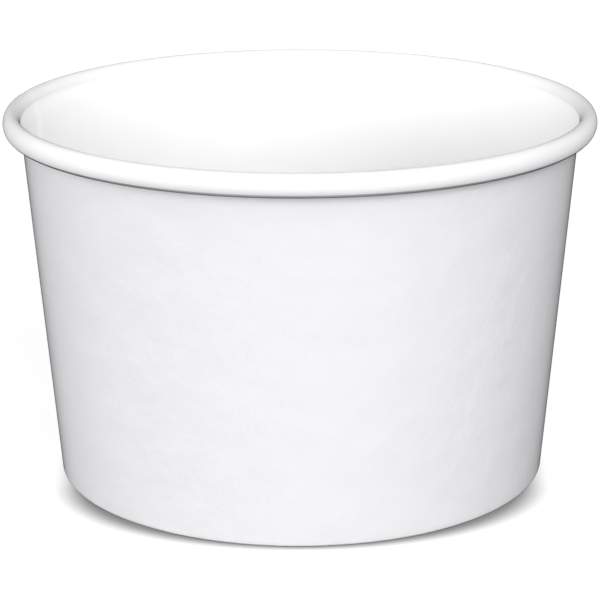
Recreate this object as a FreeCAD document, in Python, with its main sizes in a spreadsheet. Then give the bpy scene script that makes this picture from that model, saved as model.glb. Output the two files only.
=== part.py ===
import FreeCAD, Part
import math
import os

import Sketcher

# A paper sundae cup, in millimetres. It stands on the XY plane with its axis on Z,
# and the origin is the middle of the base.
#
# The cup is two pieces of coated paperboard. The side wall is one blank, rolled into a
# cone with a glued lap. Its upper edge is rolled outward into the rim bead, and its lower
# edge is folded in and up into a hem. The bottom is a disc with a skirt turned down
# all round, and the skirt is held between the wall and the hem, so the bottom is recessed.
#
# Sections are drawn in half-planes through the axis. A distance "through the board" is
# measured at right angles to the wall: 0 at the food side, one board at the outside.

DRIVING_SIZES = (
    ("cup_height", "60", "base plane to the top of the rim bead"),
    ("rim_diameter", "96", "outside of the rim bead"),
    ("base_diameter", "80", "outside of the wall where it meets the base plane"),
    ("wall_board", "0.4", "thickness of the side wall's board"),
    ("bottom_board", "0.4", "thickness of the bottom's board"),
    ("bead_diameter", "3.5", "outside of the roll at the rim"),
    ("bead_gap", "0.15", "free edge of the roll to the outer layer of the lap"),
    ("bottom_recess", "6", "base plane to the underside of the bottom"),
    ("bend_radius", "0.6", "inside radius of the bend from bottom to skirt"),
    ("hem_clearance", "0.4", "free edge of the hem to the start of that bend"),
    ("coat_gap", "0.02", "film of sealed coating between two boards"),
    ("lap_width", "7", "overlap of the side seam, measured at the base"),
    ("lead_width", "2.5", "run in which the outer layer climbs over the inner one"),
    ("lap_foot", "1", "base plane to the lower end of the outer layer"),
    ("lap_taper", "3", "height in which the lap is pressed thin at its lower end"),
    ("seam_azimuth", "169", "angle of the inner layer's raw edge round the axis"),
)

DERIVED_SIZES = (
    ("base_radius", "=base_diameter / 2"),
    ("bead_radius", "=bead_diameter / 2"),
    ("bead_ring_radius", "=rim_diameter / 2 - bead_radius"),
    ("bead_ring_height", "=cup_height - bead_radius"),
    ("bead_core_radius", "=bead_radius - wall_board"),
    ("bead_offset", "=bead_ring_radius - base_radius"),
    ("bead_reach", "=sqrt(bead_offset * bead_offset + bead_ring_height * bead_ring_height)"),
    ("wall_taper", "=acos(bead_core_radius / bead_reach) - acos(bead_offset / bead_reach)"),
    ("lap_core_radius", "=bead_core_radius - wall_board"),
    ("roll_angle", "=360 deg - acos((lap_core_radius - bead_gap) / bead_radius)"),
    ("dip_air", "=bead_gap / 4"),
    ("dip_reach", "=lap_core_radius - bead_gap / 2"),
    ("dip_roll_angle", "=360 deg - acos(dip_reach / (bead_radius + dip_air))"),
    ("lap_root", "=wall_board / 2"),
    ("lap_outside", "=2 * wall_board"),
    ("lap_full_foot", "=lap_foot + lap_taper"),
    ("climb_start", "=wall_board * 7 / 8"),
    ("hem_height", "=bottom_recess - bend_radius - hem_clearance"),
    ("floor_height", "=bottom_recess + bottom_board"),
    ("dip_full_foot", "=floor_height + lap_taper"),
    ("lap_angle", "=lap_width / base_radius * 180 / pi"),
    ("lead_angle", "=lead_width / base_radius * 180 / pi"),
)

START, END, CENTRE = range(1, 4)
HORIZONTAL_AXIS, VERTICAL_AXIS = range(-1, -3, -1)
ORIGIN = (HORIZONTAL_AXIS, START)


def fill_sheet(document):
    """Write the driving sizes, and the sizes that follow from them, under their names."""
    sheet = document.addObject("Spreadsheet::Sheet", "sizes")
    row = 0
    for name, number, meaning in DRIVING_SIZES:
        row += 1
        sheet.set(f"A{row}", meaning)
        sheet.set(f"B{row}", number)
        sheet.setAlias(f"B{row}", name)
    for name, formula in DERIVED_SIZES:
        row += 1
        sheet.setAlias(f"B{row}", name)
        sheet.set(f"B{row}", formula)
    document.recompute()
    return sheet


class Section:
    """A sketch in the half-plane through the cup's axis at an azimuth, bound to the sheet."""

    def __init__(self, body, name, azimuth="0"):
        self.sketch = body.newObject("Sketcher::SketchObject", name)
        plane = next(part for part in body.Origin.OriginFeatures if part.Role == "XZ_Plane")
        self.sketch.AttachmentSupport = [(plane, "")]
        self.sketch.MapMode = "FlatFace"
        turn = FreeCAD.Rotation(FreeCAD.Vector(0, 1, 0), self.number(azimuth))
        self.sketch.AttachmentOffset = FreeCAD.Placement(FreeCAD.Vector(), turn)
        self.sketch.setExpression("AttachmentOffset.Rotation.Angle", azimuth)

    def number(self, expression):
        """Give the present value of an expression, in millimetres or degrees."""
        value = self.sketch.evalExpression(expression)
        return float(getattr(value, "Value", value))

    def line(self, start, end):
        edge = Part.LineSegment(FreeCAD.Vector(*start, 0), FreeCAD.Vector(*end, 0))
        return self.sketch.addGeometry(edge, False)

    def arc(self, centre, radius, first_angle, last_angle):
        circle = Part.Circle(FreeCAD.Vector(*centre, 0), FreeCAD.Vector(0, 0, 1), radius)
        edge = Part.ArcOfCircle(circle, math.radians(first_angle), math.radians(last_angle))
        return self.sketch.addGeometry(edge, False)

    def rule(self, kind, *places):
        self.sketch.addConstraint(Sketcher.Constraint(kind, *places))

    def size(self, name, expression, kind, *places):
        """Add a dimension with its own name, driven by an expression."""
        value = self.number(expression)
        if kind == "Angle":
            value = math.radians(value)
        index = self.sketch.addConstraint(Sketcher.Constraint(kind, *places, value))
        self.sketch.renameConstraint(index, name)
        self.sketch.setExpression(f"Constraints.{name}", expression)


def along(start, angle, distance):
    """Give the point at a distance from a start, in the direction of an angle in degrees."""
    turn = math.radians(angle)
    return start[0] + distance * math.cos(turn), start[1] + distance * math.sin(turn)


def draw_sides(section, near, far, near_foot, far_foot, roll):
    """Draw two sides of the board, from their feet up the wall and round the rim bead.

    near and far are distances through the board, the feet are heights, and roll is the
    angle that the bead turns through. The sides are joined at the bead's free edge.
    """
    taper = section.number("sizes.wall_taper")
    bead = (section.number("sizes.bead_ring_radius"), section.number("sizes.bead_ring_height"))
    bead_radius = section.number("sizes.bead_radius")
    meeting_angle = 180 - taper
    free_angle = meeting_angle - section.number(roll)
    upright = 90 - taper

    sides = []
    rolls = []
    for depth, foot in ((near, near_foot), (far, far_foot)):
        radius = bead_radius - section.number(depth)
        top = along(bead, meeting_angle, radius)
        rise = (top[1] - section.number(foot)) / math.cos(math.radians(taper))
        sides.append(section.line(along(top, upright, -rise), top))
        rolls.append(section.arc(bead, radius, free_angle, meeting_angle))
    near_radius = bead_radius - section.number(near)
    far_radius = bead_radius - section.number(far)
    free_edge = section.line(along(bead, free_angle, far_radius), along(bead, free_angle, near_radius))

    section.size("bead_ring_radius", "sizes.bead_ring_radius", "DistanceX", *ORIGIN, rolls[0], CENTRE)
    section.size("bead_ring_height", "sizes.bead_ring_height", "DistanceY", *ORIGIN, rolls[0], CENTRE)
    section.size("near_roll", f"sizes.bead_radius - ({near})", "Radius", rolls[0])
    section.size("far_roll", f"sizes.bead_radius - ({far})", "Radius", rolls[1])
    section.rule("Coincident", rolls[0], CENTRE, rolls[1], CENTRE)
    section.rule("Tangent", sides[0], END, rolls[0], END)
    section.rule("Tangent", sides[1], END, rolls[1], END)
    section.size("upright", "90 deg - sizes.wall_taper", "Angle", sides[0])
    section.rule("Parallel", sides[0], sides[1])
    section.rule("Coincident", free_edge, START, rolls[1], START)
    section.rule("Coincident", free_edge, END, rolls[0], START)
    section.rule("PointOnObject", rolls[0], CENTRE, free_edge)
    section.size("free_edge", f"180 deg - sizes.wall_taper - {roll}", "Angle", free_edge)
    return sides


def draw_band(section, near, far, near_foot, far_foot, roll="sizes.roll_angle"):
    """Draw a closed band that follows the wall and the bead, with a straight foot."""
    sides = draw_sides(section, near, far, near_foot, far_foot, roll)
    ends = []
    for side in sides:
        point = section.sketch.getPoint(side, START)
        ends.append((point.x, point.y))
    foot = section.line(*ends)
    section.rule("Coincident", foot, START, sides[0], START)
    section.rule("Coincident", foot, END, sides[1], START)
    section.size("near_foot", near_foot, "DistanceY", *ORIGIN, sides[0], START)
    section.size("far_foot", far_foot, "DistanceY", *ORIGIN, sides[1], START)


def draw_wall(section):
    """Draw the section of the whole side wall: bead, wall, fold at the base, and hem."""
    board = section.number("sizes.wall_board")
    taper = section.number("sizes.wall_taper")
    pocket = "sizes.bottom_board + 2 * sizes.coat_gap"
    inner, outer = draw_sides(section, "0", "sizes.wall_board", "sizes.wall_board",
                              "sizes.wall_board", "sizes.roll_angle")

    corner = section.sketch.getPoint(inner, START)
    outer_corner = (corner.x, corner.y)
    pocket_width = section.number(pocket) / math.cos(math.radians(taper))
    inner_corner = (corner.x - pocket_width, corner.y)
    hem_rise = (section.number("sizes.hem_height") - board) / math.cos(math.radians(taper))
    hem_top = along(inner_corner, 90 - taper, hem_rise)

    outer_bend = section.arc(outer_corner, board, -90, -taper)
    land = section.line((outer_corner[0], 0), (inner_corner[0], 0))
    inner_bend = section.arc(inner_corner, board, 180 - taper, 270)
    hem_face = section.line(along(inner_corner, 180 - taper, board), along(hem_top, 180 - taper, board))
    hem_edge = section.line(along(hem_top, 180 - taper, board), hem_top)
    hem_back = section.line(hem_top, inner_corner)
    pocket_floor = section.line(inner_corner, outer_corner)

    section.rule("Tangent", outer, START, outer_bend, END)
    section.rule("Tangent", outer_bend, START, land, START)
    section.rule("Tangent", land, END, inner_bend, END)
    section.rule("Tangent", inner_bend, START, hem_face, START)
    section.rule("Coincident", hem_face, END, hem_edge, START)
    section.rule("Coincident", hem_edge, END, hem_back, START)
    section.rule("Coincident", hem_back, END, pocket_floor, START)
    section.rule("Coincident", pocket_floor, END, inner, START)
    section.rule("Coincident", outer_bend, CENTRE, inner, START)
    section.rule("Coincident", inner_bend, CENTRE, hem_back, END)
    section.rule("PointOnObject", land, START, HORIZONTAL_AXIS)
    section.rule("Horizontal", land)
    section.rule("Horizontal", pocket_floor)
    section.rule("Parallel", hem_back, inner)
    section.rule("Parallel", hem_face, inner)
    section.rule("Perpendicular", hem_edge, hem_back)
    section.size("pocket", pocket, "Distance", hem_back, END, inner)
    section.size("hem_height", "sizes.hem_height", "DistanceY", *ORIGIN, hem_back, START)


def draw_bottom(section):
    """Draw half of the bottom's section: the disc, the bend, and the skirt along the wall."""
    taper = section.number("sizes.wall_taper")
    board = section.number("sizes.bottom_board")
    bend_radius = section.number("sizes.bend_radius")
    underside = section.number("sizes.bottom_recess")
    skirt_foot_height = "sizes.wall_board + sizes.coat_gap"
    skirt_distance = "sizes.base_radius * cos(sizes.wall_taper) - sizes.wall_board - sizes.coat_gap"

    slope = math.radians(taper)
    bend_height = underside - bend_radius
    skirt_reach = section.number(skirt_distance) / math.cos(slope) + bend_height * math.tan(slope)
    bend = (skirt_reach - (bend_radius + board) / math.cos(slope), bend_height)
    skirt_top = along(bend, -taper, bend_radius + board)
    skirt_back_top = along(bend, -taper, bend_radius)
    drop = (skirt_top[1] - section.number(skirt_foot_height)) / math.cos(slope)
    skirt_foot = along(skirt_top, 90 - taper, -drop)
    skirt_back_foot = along(skirt_back_top, 90 - taper, -drop)

    axis = section.line((0, underside), (0, underside + board))
    floor = section.line((0, underside + board), (bend[0], underside + board))
    outer_bend = section.arc(bend, bend_radius + board, -taper, 90)
    skirt = section.line(skirt_foot, skirt_top)
    skirt_edge = section.line(skirt_foot, skirt_back_foot)
    skirt_back = section.line(skirt_back_foot, skirt_back_top)
    inner_bend = section.arc(bend, bend_radius, -taper, 90)
    under = section.line((bend[0], underside), (0, underside))

    section.rule("PointOnObject", axis, START, VERTICAL_AXIS)
    section.rule("Vertical", axis)
    section.rule("Coincident", axis, END, floor, START)
    section.rule("Tangent", floor, END, outer_bend, END)
    section.rule("Tangent", skirt, END, outer_bend, START)
    section.rule("Coincident", skirt, START, skirt_edge, START)
    section.rule("Coincident", skirt_edge, END, skirt_back, START)
    section.rule("Tangent", skirt_back, END, inner_bend, START)
    section.rule("Tangent", inner_bend, END, under, START)
    section.rule("Coincident", under, END, axis, START)
    section.rule("Coincident", outer_bend, CENTRE, inner_bend, CENTRE)
    section.rule("Horizontal", floor)
    section.rule("Horizontal", under)
    section.rule("Parallel", skirt_back, skirt)
    section.rule("Perpendicular", skirt_edge, skirt)
    section.size("recess", "sizes.bottom_recess", "DistanceY", *ORIGIN, axis, START)
    section.size("inner_bend", "sizes.bend_radius", "Radius", inner_bend)
    section.size("outer_bend", "sizes.bend_radius + sizes.bottom_board", "Radius", outer_bend)
    section.size("upright", "90 deg - sizes.wall_taper", "Angle", skirt)
    section.size("skirt_distance", skirt_distance, "Distance", *ORIGIN, skirt)
    section.size("skirt_foot", skirt_foot_height, "DistanceY", *ORIGIN, skirt, START)


def revolve(body, name, section, angle):
    """Turn a section about the cup's axis, through an angle that may be an expression."""
    feature = body.newObject("PartDesign::Revolution", name)
    feature.Profile = (section.sketch, [""])
    feature.ReferenceAxis = (section.sketch, ["V_Axis"])
    feature.Angle = section.number(angle)
    feature.setExpression("Angle", angle)
    return feature


def loft(body, kind, name, first, last):
    """Join two sections at different azimuths by straight rulings."""
    feature = body.newObject(kind, name)
    feature.Profile = (first.sketch, [""])
    feature.Sections = [(last.sketch, [""])]
    feature.Ruled = True
    return feature


def build_side_wall(document):
    """Build the side wall: the rolled blank, then the lap where its two edges overlap.

    The blank's inner edge is at the seam azimuth. Just before the blank comes round to that
    edge it climbs outward by one board, and then it runs on over the inner layer. The climb
    is added outside the wall, and the same depth is cut from the food side as a dip.
    """
    body = document.addObject("PartDesign::Body", "side_wall")
    seam = "sizes.seam_azimuth"
    lead_start = "sizes.seam_azimuth - sizes.lead_angle"

    wall = Section(body, "wall_section")
    draw_wall(wall)
    document.recompute()
    revolve(body, "rolled_wall", wall, "360 deg")

    root = "sizes.lap_root"
    outside = "sizes.lap_outside"
    foot = "sizes.lap_foot"
    full_foot = "sizes.lap_full_foot"
    lap = Section(body, "lap_section", seam)
    draw_band(lap, root, outside, foot, full_foot)
    document.recompute()
    revolve(body, "outer_layer", lap, "sizes.lap_angle")

    climb_start = Section(body, "climb_start_section", lead_start)
    draw_band(climb_start, root, "sizes.climb_start", foot, full_foot)
    climb_end = Section(body, "climb_end_section", seam)
    draw_band(climb_end, root, outside, foot, full_foot)
    document.recompute()
    loft(body, "PartDesign::AdditiveLoft", "climb", climb_start, climb_end)

    air = "-sizes.dip_air"
    dip_roll = "sizes.dip_roll_angle"
    foot = "sizes.floor_height"
    full_foot = "sizes.dip_full_foot"
    dip_start = Section(body, "dip_start_section", lead_start)
    draw_band(dip_start, air, "-sizes.dip_air / 2", foot, full_foot, dip_roll)
    dip_end = Section(body, "dip_end_section", seam)
    draw_band(dip_end, air, "sizes.wall_board", foot, full_foot, dip_roll)
    document.recompute()
    loft(body, "PartDesign::SubtractiveLoft", "dip", dip_start, dip_end)
    return body


def build_bottom_disc(document):
    """Build the bottom: a flat disc whose rim is turned down into a skirt."""
    body = document.addObject("PartDesign::Body", "bottom_disc")
    bottom = Section(body, "bottom_section")
    draw_bottom(bottom)
    document.recompute()
    revolve(body, "pressed_disc", bottom, "360 deg")
    return body


def check(document, bodies):
    """Stop if any object failed, or if a piece is not one valid solid."""
    for item in document.Objects:
        for fault in ("Invalid", "Error"):
            if fault in item.State:
                raise RuntimeError(f"{item.Name}: {item.State}")
        if item.isDerivedFrom("Sketcher::SketchObject") and not item.FullyConstrained:
            raise RuntimeError(f"{item.Name} is not fully constrained")
    for body in bodies:
        if body.Shape.isNull() or not body.Shape.isValid() or len(body.Shape.Solids) != 1:
            raise RuntimeError(f"{body.Label} is not one valid solid")


def main():
    document = FreeCAD.newDocument("paper_sundae_cup")
    fill_sheet(document)
    bodies = [build_side_wall(document), build_bottom_disc(document)]
    document.recompute()
    check(document, bodies)
    os.makedirs("parts", exist_ok=True)
    for body in bodies:
        body.Shape.exportStep(f"parts/{body.Label}.step")
        print(body.Label, round(body.Shape.Volume, 1), body.Shape.BoundBox)


main()
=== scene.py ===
import math

import bmesh
import bpy
import numpy as np
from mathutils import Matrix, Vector


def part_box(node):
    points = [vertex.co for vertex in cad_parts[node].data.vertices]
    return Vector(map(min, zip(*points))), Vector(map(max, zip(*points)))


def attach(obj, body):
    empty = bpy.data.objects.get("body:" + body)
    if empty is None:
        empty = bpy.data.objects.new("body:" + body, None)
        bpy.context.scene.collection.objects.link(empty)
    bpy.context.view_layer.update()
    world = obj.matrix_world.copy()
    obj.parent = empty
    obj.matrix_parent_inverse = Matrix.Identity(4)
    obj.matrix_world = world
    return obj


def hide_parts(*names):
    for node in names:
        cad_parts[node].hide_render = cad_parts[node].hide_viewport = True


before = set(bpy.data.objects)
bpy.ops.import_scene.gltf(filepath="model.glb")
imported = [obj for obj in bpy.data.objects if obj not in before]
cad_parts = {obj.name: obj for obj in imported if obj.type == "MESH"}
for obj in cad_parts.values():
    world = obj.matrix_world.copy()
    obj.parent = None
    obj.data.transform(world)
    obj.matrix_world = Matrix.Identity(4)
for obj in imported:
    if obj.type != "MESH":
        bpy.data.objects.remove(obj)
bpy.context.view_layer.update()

# The cup's own sizes in metres. Its height and rim come from the side wall in model.glb, and
# the rest are the sizes that its construction has.
WALL_LOW, WALL_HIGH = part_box("side_wall")
CUP_HEIGHT = WALL_HIGH.z
RIM_RADIUS = (WALL_HIGH.x - WALL_LOW.x) / 2
BASE_RADIUS = 0.040
WALL_BOARD = 0.0004
BOTTOM_BOARD = 0.0004
BEAD_RADIUS = 0.00175
BEAD_GAP = 0.00015
COAT_GAP = 0.00002
BOTTOM_RECESS = 0.006
BEND_RADIUS = 0.0006
HEM_CLEARANCE = 0.0004
LAP_WIDTH = 0.007
LEAD_WIDTH = 0.0025
LAP_FOOT = 0.001
LAP_TAPER = 0.003
SEAM_AZIMUTH = math.radians(169)

# The camera's place and aim, found by fitting the outlines of rim, wall and base. Its focal
# length is in pixels of the frame, and its sensor is measured in millimetres.
CAMERA_PLACE = Vector((-0.00012, -0.37333, 0.14143))
CAMERA_PITCH = math.radians(17.02)
CAMERA_ROLL = math.radians(-0.31)
FOCAL_PIXELS = 2362
FRAME_PIXELS = 600
SENSOR_WIDTH = 36

# Geometry that follows from the sizes, in the half-plane of radius and height.
BEAD_CENTRE = np.array([RIM_RADIUS - BEAD_RADIUS, CUP_HEIGHT - BEAD_RADIUS])
BEAD_OFFSET = BEAD_CENTRE[0] - BASE_RADIUS
BEAD_REACH = math.hypot(BEAD_OFFSET, BEAD_CENTRE[1])
TAPER = math.acos((BEAD_RADIUS - WALL_BOARD) / BEAD_REACH) - math.acos(BEAD_OFFSET / BEAD_REACH)
UP_WALL = np.array([math.sin(TAPER), math.cos(TAPER)])
OUT_OF_WALL = np.array([math.cos(TAPER), -math.sin(TAPER)])
ROLL_ANGLE = 2 * math.pi - math.acos((BEAD_RADIUS - 2 * WALL_BOARD - BEAD_GAP) / BEAD_RADIUS)
WALL_TOP = BEAD_CENTRE - BEAD_RADIUS * OUT_OF_WALL
HEM_HEIGHT = BOTTOM_RECESS - BEND_RADIUS - HEM_CLEARANCE
FLOOR_HEIGHT = BOTTOM_RECESS + BOTTOM_BOARD
LAP_ANGLE = LAP_WIDTH / BASE_RADIUS
LEAD_ANGLE = LEAD_WIDTH / BASE_RADIUS

# How fine the meshes are: columns round the axis, and rows along each stretch of an outline.
WALL_COLUMNS = 900
INSIDE_ROWS = 7
OUTSIDE_ROWS = 9
FLARE_INSIDE_ROWS = 8
FLARE_OUTSIDE_ROWS = 5
BEAD_OUTSIDE_ROWS = 40
BEAD_INSIDE_ROWS = 12
FOLD_ROWS = 6
HEM_ROWS = 5
DISC_COLUMNS = 720
FLAT_RINGS = 12
PLEAT_RINGS = 9
BEND_ROWS = 8
UNDER_BEND_ROWS = 6

# The angle round the cup that the cut face at each end of the lap takes up, the angle from
# which a crease is shaded sharp, and the distance within which points are welded.
STEP_ANGLE = 0.0003
CREASE_ANGLE = math.radians(32)
WELD_DISTANCE = 1e-8

# Small departures from a true cone. Each wave is its count round the cup, its height in
# metres and its phase. The rim's waves fade down the wall with a power of the height.
OUT_OF_ROUND = ((1, 0.00003, 0), (2, 0.00005, -0.33))
RIM_WAVES = ((1, 0.00016, 3.1), (2, 0.00002, 1.3))
RIM_WAVE_POWER = 4
WALL_FLATS = ((11, 0.000012, 0.5), (17, 0.000010, 1.9), (29, 0.000006, 4.1))

# The pleats at the bottom's bend, whose waves are shares of their depth, and the pressed ribs
# of the hem, which fade out over a share of its height at both ends.
PLEATS = ((97, 0.4, 0.3), (131, 0.35, 1.1), (61, 0.25, 2.2))
PLEAT_DEPTH = 0.00006
PLEAT_REACH = 0.004
HEM_RIBS = 150
RIB_DEPTH = 0.00008
RIB_FADE = 0.25

# The bead is squeezed towards its centre line by a share of its width, and its upper half is
# raised by a share of its height. The wall flares to meet it, from a height in metres. The
# lap's step on it is a share of the board's thickness, and the painted shade on its underside
# starts a share of its radius below its centre.
BEAD_SQUEEZE = 0.2
BEAD_CREST = 0.11
FLARE_START = 0.056
BEAD_STEP = 0.45
PAINTED_SHADE_SHARE = 0.55

# The places of the board's surfaces in a piece's list of materials. The last, on the bead's
# underside, is painted shade.
FOOD_SIDE, OUTER_SIDE, CUT_EDGE, RIM_TOP, SHADED_RIM_UNDERSIDE = range(5)


def smooth(value):
    """Rise evenly from 0 to 1, flat at both ends."""
    value = np.clip(value, 0, 1)
    return value * value * (3 - 2 * value)


def heading(angle):
    return np.array([math.cos(angle), math.sin(angle)])


def arc(centre, radius, first, last, count):
    """Give the points of an arc in equal steps, both ends among them."""
    return [centre + radius * heading(angle) for angle in np.linspace(first, last, count + 1)]


def stretch(first, last, count):
    """Give the points of a straight run in equal steps, both ends among them."""
    return [first + (last - first) * share for share in np.linspace(0, 1, count + 1)]


def irregular(azimuth, waves):
    """Add up waves round the cup at each azimuth."""
    return sum(height * np.cos(count * azimuth + phase) for count, height, phase in waves)


def turn_section(radii, heights, azimuths):
    """Turn columns of (radius, height) about the axis. Each column has its own azimuth."""
    across = radii * np.cos(azimuths)[:, None]
    along = radii * np.sin(azimuths)[:, None]
    return np.stack([across, along, heights], axis=-1)


def join_stretches(stretches):
    """Join named stretches of an outline, and say which rows each of them fills."""
    rows = {}
    first = 0
    for name, points in stretches.items():
        rows[name] = slice(first, first + len(points))
        first += len(points)
    return np.array(sum(stretches.values(), [])), rows


def rows_marked(rows, *names):
    """Give 1 on the rows of the named stretches, and 0 on all others."""
    marks = np.zeros(max(part.stop for part in rows.values()))
    for name in names:
        marks[rows[name]] = 1
    return marks


def grid_piece(name, points, loop, materials, slots):
    """Make a piece from points[column][row], with the columns closed round the axis.

    loop closes the rows too. slots[column][row] gives the material of the face that starts
    there.
    """
    columns, rows = points.shape[:2]
    index = np.arange(columns * rows).reshape(columns, rows)
    following = np.roll(index, -1, axis=0)
    corners = [following, index, np.roll(index, -1, axis=1), np.roll(following, -1, axis=1)]
    if not loop:
        corners = [corner[:, :-1] for corner in corners]
        slots = slots[:, :-1]
    faces = np.stack(corners, axis=-1)
    mesh = bpy.data.meshes.new(name)
    mesh.from_pydata(points.reshape(-1, 3).tolist(), [], faces.reshape(-1, 4).tolist())
    for material in materials:
        mesh.materials.append(material)
    mesh.polygons.foreach_set("material_index", slots.reshape(-1))
    piece = bpy.data.objects.new(name, mesh)
    bpy.context.scene.collection.objects.link(piece)
    return piece


def finish_mesh(piece, weld=None):
    """Weld the pole of a disc, turn the faces outward, and shade all but the creases smooth."""
    work = bmesh.new()
    work.from_mesh(piece.data)
    if weld:
        bmesh.ops.remove_doubles(work, verts=work.verts, dist=weld)
    bmesh.ops.recalc_face_normals(work, faces=work.faces)
    work.to_mesh(piece.data)
    work.free()
    piece.data.shade_smooth()
    piece.data.set_sharp_from_angle(angle=CREASE_ANGLE)


def wall_azimuths():
    """Give the wall's columns: even steps, and a close pair at each raw edge of the seam."""
    even = np.linspace(-math.pi, math.pi, WALL_COLUMNS, endpoint=False)
    edges = np.array([-STEP_ANGLE, 0, LAP_ANGLE, LAP_ANGLE + STEP_ANGLE])
    clear = np.all(np.abs(even[:, None] - edges[None, :]) > 2 * STEP_ANGLE, axis=1)
    return np.sort(np.concatenate([even[clear], edges]))


def wall_outline():
    """Follow the blank's outline: up the inside, over the bead, down the outside, and the hem."""
    outer_corner = WALL_TOP + (WALL_BOARD - WALL_TOP[1]) / UP_WALL[1] * UP_WALL
    pocket = (BOTTOM_BOARD + 2 * COAT_GAP) / math.cos(TAPER)
    inner_corner = outer_corner - np.array([pocket, 0])
    hem_top = inner_corner + (HEM_HEIGHT - inner_corner[1]) / UP_WALL[1] * UP_WALL

    def up_from_fold(height):
        return outer_corner + (height - WALL_BOARD) / UP_WALL[1] * UP_WALL

    rises = (WALL_BOARD, FLOOR_HEIGHT, FLOOR_HEIGHT + LAP_TAPER / 2, FLOOR_HEIGHT + LAP_TAPER)
    flare_foot = up_from_fold(FLARE_START)
    inside = [up_from_fold(rise) for rise in rises]
    inside += stretch(inside[-1], flare_foot, INSIDE_ROWS)[1:]
    inside += stretch(flare_foot, WALL_TOP, FLARE_INSIDE_ROWS)[1:]
    falls = (LAP_FOOT + LAP_TAPER, LAP_FOOT + LAP_TAPER / 2, LAP_FOOT, WALL_BOARD)
    near_fold = [up_from_fold(fall) for fall in falls]
    outside = stretch(WALL_TOP, flare_foot, FLARE_OUTSIDE_ROWS)[1:-1]
    outside += stretch(flare_foot, near_fold[0], OUTSIDE_ROWS)[:-1] + near_fold
    fold = arc(outer_corner, WALL_BOARD, -TAPER, -math.pi / 2, FOLD_ROWS)[1:]
    fold += arc(inner_corner, WALL_BOARD, -math.pi / 2, -math.pi - TAPER, FOLD_ROWS)
    hem_edge = hem_top - WALL_BOARD * OUT_OF_WALL
    inner_radius = BEAD_RADIUS - WALL_BOARD
    roll_start = math.pi - TAPER
    roll_end = roll_start - ROLL_ANGLE
    return join_stretches({
        "inside": inside,
        "bead_outside": arc(BEAD_CENTRE, BEAD_RADIUS, roll_start, roll_end, BEAD_OUTSIDE_ROWS)[1:],
        "bead_inside": arc(BEAD_CENTRE, inner_radius, roll_end, roll_start, BEAD_INSIDE_ROWS),
        "outside": [point + WALL_BOARD * OUT_OF_WALL for point in outside],
        "fold": fold,
        "hem_face": stretch(fold[-1], hem_edge, HEM_ROWS)[1:],
        "hem_back": [hem_top, inner_corner],
    })


def wall_slots(section, rows, around):
    """Give each face of the wall its surface, from the row and column that it starts at."""
    on_food = rows_marked(rows, "inside", "hem_back")
    slots = np.where(on_food > 0, FOOD_SIDE, OUTER_SIDE)
    on_rim = rows_marked(rows, "bead_outside") > 0
    # Below this height the bead's underside gets a much dimmer coat: painted shade under the rim.
    in_painted_shade = section[:, 1] < BEAD_CENTRE[1] - PAINTED_SHADE_SHARE * BEAD_RADIUS
    slots[on_rim] = RIM_TOP
    slots[on_rim & in_painted_shade] = SHADED_RIM_UNDERSIDE
    slots[rows["inside"].stop - 1] = RIM_TOP
    slots[rows["bead_outside"].stop - 1] = CUT_EDGE
    slots[rows["hem_face"].stop - 1] = CUT_EDGE
    slots = np.tile(slots, (len(around), 1))
    inner_end = np.isclose(around, -STEP_ANGLE)[:, None]
    outer_end = np.isclose(around, LAP_ANGLE)[:, None]
    slots[inner_end & (rows_marked(rows, "inside", "bead_outside") > 0)] = CUT_EDGE
    slots[outer_end & (rows_marked(rows, "outside") > 0)] = CUT_EDGE
    return slots


def build_side_wall(materials):
    """Model the rolled blank: bead, wall, lapped seam, fold at the base, and ribbed hem."""
    section, rows = wall_outline()
    on_bead = rows_marked(rows, "bead_outside", "bead_inside") > 0
    through = np.tile(OUT_OF_WALL, (len(section), 1))
    to_core = BEAD_CENTRE - section[on_bead]
    through[on_bead] = to_core / np.linalg.norm(to_core, axis=1)[:, None]

    around = wall_azimuths()
    climb = smooth((around + LEAD_ANGLE) / LEAD_ANGLE)
    dip = np.where(around < 0, climb, 0)
    lift = np.where(around > LAP_ANGLE, 0, climb)
    height = section[:, 1]
    dip_share = smooth((height - FLOOR_HEIGHT) / LAP_TAPER) * np.where(on_bead, BEAD_STEP, 1)
    dip_share *= rows_marked(rows, "inside", "bead_outside")
    lift_share = smooth((height - LAP_FOOT) / LAP_TAPER) * rows_marked(rows, "outside")
    depth = WALL_BOARD * (dip[:, None] * dip_share + lift[:, None] * lift_share)
    fade = RIB_FADE * HEM_HEIGHT
    hem_share = smooth((height - WALL_BOARD) / fade) * smooth((HEM_HEIGHT - height) / fade)
    hem_share *= rows_marked(rows, "hem_face")
    ribs = RIB_DEPTH * (0.5 + 0.5 * np.cos(HEM_RIBS * around))
    depth += ribs[:, None] * hem_share

    azimuths = around + SEAM_AZIMUTH
    share = height / CUP_HEIGHT
    radii = section[:, 0] + depth * through[:, 0]
    heights = section[:, 1] + depth * through[:, 1]
    flare = smooth((height - FLARE_START) / (BEAD_CENTRE[1] - FLARE_START))
    flare[on_bead] = 1
    radii += BEAD_SQUEEZE * flare * (BEAD_CENTRE[0] - radii)
    heights += BEAD_CREST * on_bead * np.maximum(heights - BEAD_CENTRE[1], 0)
    radii += irregular(azimuths, OUT_OF_ROUND)[:, None] * share
    radii += irregular(azimuths, WALL_FLATS)[:, None] * np.sin(math.pi * share)
    heights += irregular(azimuths, RIM_WAVES)[:, None] * share ** RIM_WAVE_POWER
    points = turn_section(radii, heights, azimuths)
    piece = grid_piece("rolled_side_wall", points, True, materials,
                       wall_slots(section, rows, around))
    finish_mesh(piece)
    return piece


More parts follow.
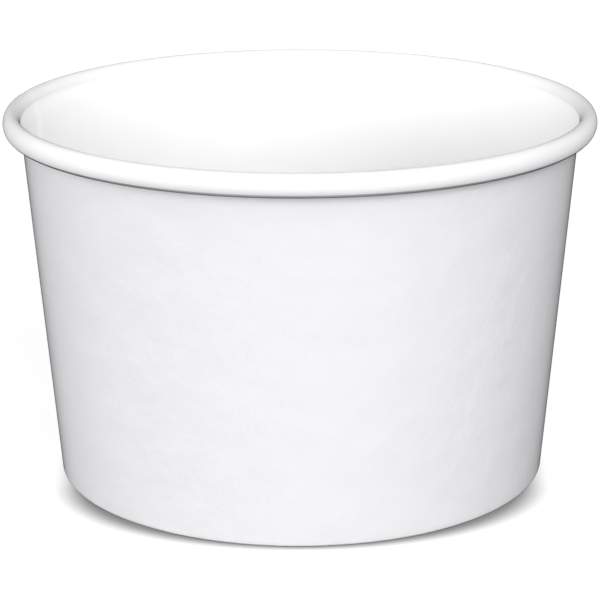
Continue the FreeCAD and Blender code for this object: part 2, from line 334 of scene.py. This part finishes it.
def build_bottom(materials):
    """Model the bottom: a disc with fine pleats where its rim is turned down into the skirt."""
    bend_height = BOTTOM_RECESS - BEND_RADIUS
    outer_bend = BEND_RADIUS + BOTTOM_BOARD
    wall_line = BASE_RADIUS * math.cos(TAPER) - WALL_BOARD - COAT_GAP
    skirt_reach = wall_line / math.cos(TAPER) + bend_height * math.tan(TAPER)
    bend = np.array([skirt_reach - outer_bend / math.cos(TAPER), bend_height])
    skirt_top = bend + outer_bend * OUT_OF_WALL
    skirt_foot = skirt_top - (skirt_top[1] - WALL_BOARD - COAT_GAP) / UP_WALL[1] * UP_WALL

    pleat_start = bend[0] - PLEAT_REACH
    flat_radii = np.linspace(0, pleat_start, FLAT_RINGS)
    pleat_radii = np.linspace(pleat_start, bend[0], PLEAT_RINGS)
    radii = np.concatenate([flat_radii, pleat_radii[1:]])
    section, rows = join_stretches({
        "top": [np.array([radius, FLOOR_HEIGHT]) for radius in radii],
        "over": arc(bend, outer_bend, math.pi / 2, -TAPER, BEND_ROWS)[1:],
        "skirt_foot": [skirt_foot],
        "skirt_back": [skirt_foot - BOTTOM_BOARD * OUT_OF_WALL],
        "under_bend": arc(bend, BEND_RADIUS, -TAPER, math.pi / 2, UNDER_BEND_ROWS),
        "underside": [np.array([radius, BOTTOM_RECESS]) for radius in radii[::-1][1:]],
    })

    azimuths = np.linspace(0, 2 * math.pi, DISC_COLUMNS, endpoint=False)
    near_bend = smooth((section[:, 0] - pleat_start) / PLEAT_REACH)
    near_bend *= rows_marked(rows, "top", "underside")
    pleats = PLEAT_DEPTH * np.abs(irregular(azimuths, PLEATS))
    heights = section[:, 1] - pleats[:, None] * near_bend
    points = turn_section(np.tile(section[:, 0], (DISC_COLUMNS, 1)), heights, azimuths)
    slots = np.where(rows_marked(rows, "top", "over") > 0, FOOD_SIDE, OUTER_SIDE)
    slots[rows["skirt_foot"]] = CUT_EDGE
    slots = np.tile(slots, (DISC_COLUMNS, 1))
    piece = grid_piece("pressed_bottom", points, False, materials[:CUT_EDGE + 1], slots)
    finish_mesh(piece, weld=WELD_DISTANCE)
    return piece


class Nodes:
    """The node tree of a material or of the world, built in short steps."""

    def __init__(self, tree, output):
        self.tree = tree
        self.tree.nodes.clear()
        self.output = self.tree.nodes.new(output)

    def add(self, kind, settings=None, **inputs):
        """Make a node. An input's name has an underscore in place of each space."""
        node = self.tree.nodes.new(kind)
        for name, value in (settings or {}).items():
            setattr(node, name, value)
        for name, value in inputs.items():
            self.set(node, name.replace("_", " "), value)
        return node

    def set(self, node, name, value):
        """Link an input to another node's output, or give it a value."""
        if isinstance(value, bpy.types.NodeSocket):
            self.tree.links.new(value, node.inputs[name])
        else:
            node.inputs[name].default_value = value

    def math(self, operation, *values):
        """Work out one number from others."""
        node = self.add("ShaderNodeMath", {"operation": operation})
        for place, value in enumerate(values):
            self.set(node, place, value)
        return node.outputs[0]

    def length(self, first, second):
        """Give the length of two parts of a distance at right angles."""
        squares = self.math("ADD", self.math("POWER", first, 2.0), self.math("POWER", second, 2.0))
        return self.math("SQRT", squares)

    def between(self, share, first, last):
        """Blend two colours, given as red, green and blue."""
        node = self.add("ShaderNodeMix", {"data_type": "RGBA"}, Factor=share)
        colours = [socket for socket in node.inputs if socket.type == "RGBA"]
        colours[0].default_value = (*first, 1)
        colours[1].default_value = (*last, 1)
        return next(socket for socket in node.outputs if socket.type == "RGBA")

    def noise(self, place, size, detail, roughness=0.5):
        """Give a noise whose patches are about as large as size, in metres."""
        node = self.add("ShaderNodeTexNoise", Vector=place, Scale=1 / size, Detail=detail,
                        Roughness=roughness)
        return node.outputs["Fac"]


def new_material(name):
    material = bpy.data.materials.new(name)
    material.use_nodes = True
    return material, Nodes(material.node_tree, "ShaderNodeOutputMaterial")


# The coated board's relief and tone. Sizes and depths are in metres. The tone goes from
# darker to full between two values of the noise.
CLOUD_SIZE = 0.017
CLOUD_DETAIL = 3
PATCH_SIZE = 0.006
PATCH_DETAIL = 5
PATCH_DEPTH = 0.0004
FIBRE_SIZE = 0.0004
FIBRE_DETAIL = 3
FIBRE_HARSHNESS = 0.7
FIBRE_DEPTH = 0.00002
DARKER_TONE = 0.98
TONE_START = 0.3
TONE_END = 0.7
BOARD_ROUGHNESS = 0.5
SHEEN_SPREAD = 0.06
BOARD_SPECULAR = 0.15

# The cut edge's fibres, and its colours between and on the fibre ends.
EDGE_FIBRE_SIZE = FIBRE_SIZE / 2
EDGE_FIBRE_DETAIL = 4
EDGE_RELIEF = 0.5
EDGE_DEPTH = 0.00005
EDGE_SHADE = (0.66, 0.63, 0.57)
EDGE_LIGHT = (0.82, 0.80, 0.76)
EDGE_ROUGHNESS = 0.9
EDGE_SPECULAR = 0.1


def board_material(name, colour, outline_shade_clearness, relief):
    """Coated white board: cloudy tone, soft patches and fibres in relief, and a clear coat.

    The coat has no gloss of its own. It only dims what is seen through it at a low angle,
    which paints shade along the outlines where the surface turns away: outline_shade_clearness
    is the share of light that it lets through when seen straight on.
    """
    material, nodes = new_material(name)
    place = nodes.add("ShaderNodeTexCoord").outputs["Object"]
    clouds = nodes.noise(place, CLOUD_SIZE, CLOUD_DETAIL)
    patches = nodes.noise(place, PATCH_SIZE, PATCH_DETAIL)
    fibres = nodes.noise(place, FIBRE_SIZE, FIBRE_DETAIL, FIBRE_HARSHNESS)
    average = nodes.math("MULTIPLY", nodes.math("ADD", clouds, patches), 0.5)
    tone = nodes.add("ShaderNodeMapRange", Value=average, From_Min=TONE_START,
                     From_Max=TONE_END)
    darker = [DARKER_TONE * channel for channel in colour]
    fine = nodes.add("ShaderNodeBump", Strength=relief, Distance=FIBRE_DEPTH, Height=fibres)
    soft = nodes.add("ShaderNodeBump", Strength=relief, Distance=PATCH_DEPTH, Height=patches,
                     Normal=fine.outputs["Normal"])
    gloss = nodes.add("ShaderNodeMapRange", Value=patches, To_Min=BOARD_ROUGHNESS - SHEEN_SPREAD,
                      To_Max=BOARD_ROUGHNESS + SHEEN_SPREAD)
    # The coat's dimming at low angles paints shade along the outlines.
    shader = nodes.add("ShaderNodeBsdfPrincipled",
                       Base_Color=nodes.between(tone.outputs["Result"], darker, colour),
                       Roughness=gloss.outputs["Result"], Specular_IOR_Level=BOARD_SPECULAR,
                       Coat_Weight=1.0, Coat_IOR=1.0,
                       Coat_Tint=(outline_shade_clearness, outline_shade_clearness, outline_shade_clearness, 1),
                       Normal=soft.outputs["Normal"])
    nodes.set(nodes.output, "Surface", shader.outputs["BSDF"])
    return material


def cut_edge_material():
    """The cut edge of the board: uncoated, warmer, and rough with fibre ends."""
    material, nodes = new_material("cut_board_edge")
    place = nodes.add("ShaderNodeTexCoord").outputs["Object"]
    fibres = nodes.noise(place, EDGE_FIBRE_SIZE, EDGE_FIBRE_DETAIL, FIBRE_HARSHNESS)
    relief = nodes.add("ShaderNodeBump", Strength=EDGE_RELIEF, Distance=EDGE_DEPTH,
                       Height=fibres)
    shader = nodes.add("ShaderNodeBsdfPrincipled",
                       Base_Color=nodes.between(fibres, EDGE_SHADE, EDGE_LIGHT),
                       Roughness=EDGE_ROUGHNESS, Specular_IOR_Level=EDGE_SPECULAR,
                       Normal=relief.outputs["Normal"])
    nodes.set(nodes.output, "Surface", shader.outputs["BSDF"])
    return material


# The floor reflects a little light and glows towards the camera, so that it is white a short
# way from the cup. Its tone is its colour as seen, and its bounce the colour of the light that
# it throws back on the cup. Near the cup the glow rises over a narrow oval band, given by its
# start and end along Y less the oval's straight part. The band is wider at the cup's sides,
# and further out the glow rises once more. Where the glow is off round the base, the oval
# paints shadow, added to the cup's real shadow: narrower in front and behind, wider at the
# sides.
FLOOR_SIDE = 6.0
FLOOR_TONE = 0.30
FLOOR_BOUNCE = 0.20
GLOW_STRETCH = 1.435
GLOW_STRAIGHT = 0.0143
GLOW_WIDENING = 0.032
NEAR_START = 0.0252
NEAR_END = 0.0275
NEAR_GLOW = 0.80
FAR_START = 0.15
FAR_END = 0.50
FAR_GLOW = 0.27


def shown_ray(nodes):
    """Give 1 for a ray from the camera, a reflection or a clear surface, and otherwise 0."""
    path = nodes.add("ShaderNodeLightPath")
    seen = nodes.math("MAXIMUM", path.outputs["Is Camera Ray"], path.outputs["Is Glossy Ray"])
    return nodes.math("MAXIMUM", seen, path.outputs["Is Transmission Ray"])


def floor_material():
    """A pale floor that keeps the cup's shadow, with painted shadow in an oval round the base
    where the glow is off, and plain white further out.
    """
    material, nodes = new_material("pale_floor")
    place = nodes.add("ShaderNodeSeparateXYZ",
                      Vector=nodes.add("ShaderNodeTexCoord").outputs["Object"])
    across = nodes.math("DIVIDE", place.outputs["X"], GLOW_STRETCH)
    beyond = nodes.math("SUBTRACT", nodes.math("ABSOLUTE", place.outputs["Y"]), GLOW_STRAIGHT)
    oval = nodes.length(across, nodes.math("MAXIMUM", beyond, 0.0))
    circle = nodes.length(place.outputs["X"], place.outputs["Y"])
    shown = shown_ray(nodes)
    widening = nodes.math("MULTIPLY", nodes.math("ABSOLUTE", place.outputs["X"]), GLOW_WIDENING)
    # The near glow is off in an oval round the base: painted shadow there, on top of the real
    # shadow.
    near = nodes.add("ShaderNodeMapRange", {"interpolation_type": "SMOOTHSTEP"}, Value=oval,
                     From_Min=nodes.math("SUBTRACT", NEAR_START, widening),
                     From_Max=nodes.math("ADD", NEAR_END, widening), To_Max=NEAR_GLOW)
    far = nodes.add("ShaderNodeMapRange", {"interpolation_type": "SMOOTHSTEP"}, Value=circle,
                    From_Min=FAR_START, From_Max=FAR_END, To_Max=FAR_GLOW)
    glow = nodes.math("ADD", near.outputs["Result"], far.outputs["Result"])
    tone = nodes.add("ShaderNodeMapRange", Value=shown, To_Min=FLOOR_BOUNCE, To_Max=FLOOR_TONE)
    paint = nodes.add("ShaderNodeBsdfDiffuse", Color=tone.outputs["Result"])
    light = nodes.add("ShaderNodeEmission", Color=(1, 1, 1, 1),
                      Strength=nodes.math("MULTIPLY", glow, shown))
    total = nodes.add("ShaderNodeAddShader")
    nodes.set(total, 0, paint.outputs[0])
    nodes.set(total, 1, light.outputs[0])
    nodes.set(nodes.output, "Surface", total.outputs[0])
    return material


def build_floor():
    half = FLOOR_SIDE / 2
    corners = [(-half, -half, 0), (half, -half, 0), (half, half, 0), (-half, half, 0)]
    mesh = bpy.data.meshes.new("floor")
    mesh.from_pydata(corners, [], [(0, 1, 2, 3)])
    mesh.materials.append(floor_material())
    floor = bpy.data.objects.new("floor", mesh)
    bpy.context.scene.collection.objects.link(floor)


# The share of the background's white that lights the cup.
WORLD_LIGHT = 0.10


def build_world():
    """Faint even light from all round, and plain white wherever the background shows."""
    world = bpy.data.worlds.new("studio")
    bpy.context.scene.world = world
    world.use_nodes = True
    nodes = Nodes(world.node_tree, "ShaderNodeOutputWorld")
    strength = nodes.add("ShaderNodeMapRange", Value=shown_ray(nodes), To_Min=WORLD_LIGHT)
    sky = nodes.add("ShaderNodeBackground", Color=(1, 1, 1, 1),
                    Strength=strength.outputs["Result"])
    nodes.set(nodes.output, "Surface", sky.outputs[0])


# Soft square lamps round the cup: name, degrees to the right of the camera's side, degrees
# above the floor, and power in watts.
LAMP_DISTANCE = 2.2
LAMP_SIZE = 1.36
LAMPS = (
    ("left_low_lamp", -75, 8, 16.5),
    ("front_low_lamp", -15, 8, 17.0),
    ("front_left_lamp", -15, 22, 10.0),
    ("front_right_lamp", 15, 22, 18.0),
    ("right_lamp", 45, 22, 9.0),
    ("right_high_lamp", 50, 42, 9.0),
    ("back_left_lamp", -105, 15, 18.0),
    ("back_right_lamp", 125, 25, 9.0),
    ("back_lamp", 180, 30, 2.0),
    ("top_lamp", 0, 78, 6.0),
)


def build_lamps():
    """Stand soft lamps round the cup, all facing its middle."""
    middle = Vector((0, 0, CUP_HEIGHT / 2))
    for name, azimuth, elevation, power in LAMPS:
        turn = math.radians(azimuth)
        rise = math.radians(elevation)
        away = Vector((math.sin(turn) * math.cos(rise), -math.cos(turn) * math.cos(rise),
                       math.sin(rise)))
        lamp = bpy.data.lights.new(name, "AREA")
        lamp.shape = "SQUARE"
        lamp.size = LAMP_SIZE
        lamp.energy = power
        holder = bpy.data.objects.new(name, lamp)
        holder.location = LAMP_DISTANCE * away
        holder.rotation_euler = (middle - holder.location).to_track_quat("-Z", "Y").to_euler()
        holder.visible_camera = False
        bpy.context.scene.collection.objects.link(holder)


def build_camera():
    camera = bpy.data.cameras.new("camera")
    camera.sensor_width = SENSOR_WIDTH
    camera.lens = SENSOR_WIDTH * FOCAL_PIXELS / FRAME_PIXELS
    holder = bpy.data.objects.new("camera", camera)
    holder.location = CAMERA_PLACE
    holder.rotation_euler = (math.pi / 2 - CAMERA_PITCH, 0, 0)
    holder.rotation_euler.rotate_axis("Z", CAMERA_ROLL)
    bpy.context.scene.collection.objects.link(holder)
    bpy.context.scene.camera = holder


def main():
    materials = [
        # The food side is a lighter copy of the board, painted light that brightens the inside of
        # the cup.
        board_material("food_side_coating_painted_light", colour=(0.956, 0.956, 0.962), outline_shade_clearness=0.98,
                       relief=0.12),
        # The outer side's coat is the dimmest of the wall's, and paints the darkest shade along
        # the cup's outlines.
        board_material("outer_side_coating", colour=(0.937, 0.937, 0.960), outline_shade_clearness=0.915,
                       relief=0.9),
        cut_edge_material(),
        board_material("rim_coating", colour=(0.955, 0.955, 0.968), outline_shade_clearness=0.945,
                       relief=0.3),
        # The bead's underside: a white board under a much dimmer coat, painted shade that draws
        # the dark line under the rim.
        board_material("rim_underside_painted_shade", colour=(0.98, 0.98, 0.98), outline_shade_clearness=0.70,
                       relief=0.3),
    ]
    wall = build_side_wall(materials)
    bottom = build_bottom(materials)
    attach(wall, "root")
    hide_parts("side_wall")
    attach(bottom, "root")
    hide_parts("bottom_disc")
    build_floor()
    build_world()
    build_lamps()
    build_camera()
    bpy.context.scene.view_settings.view_transform = "Standard"


main()
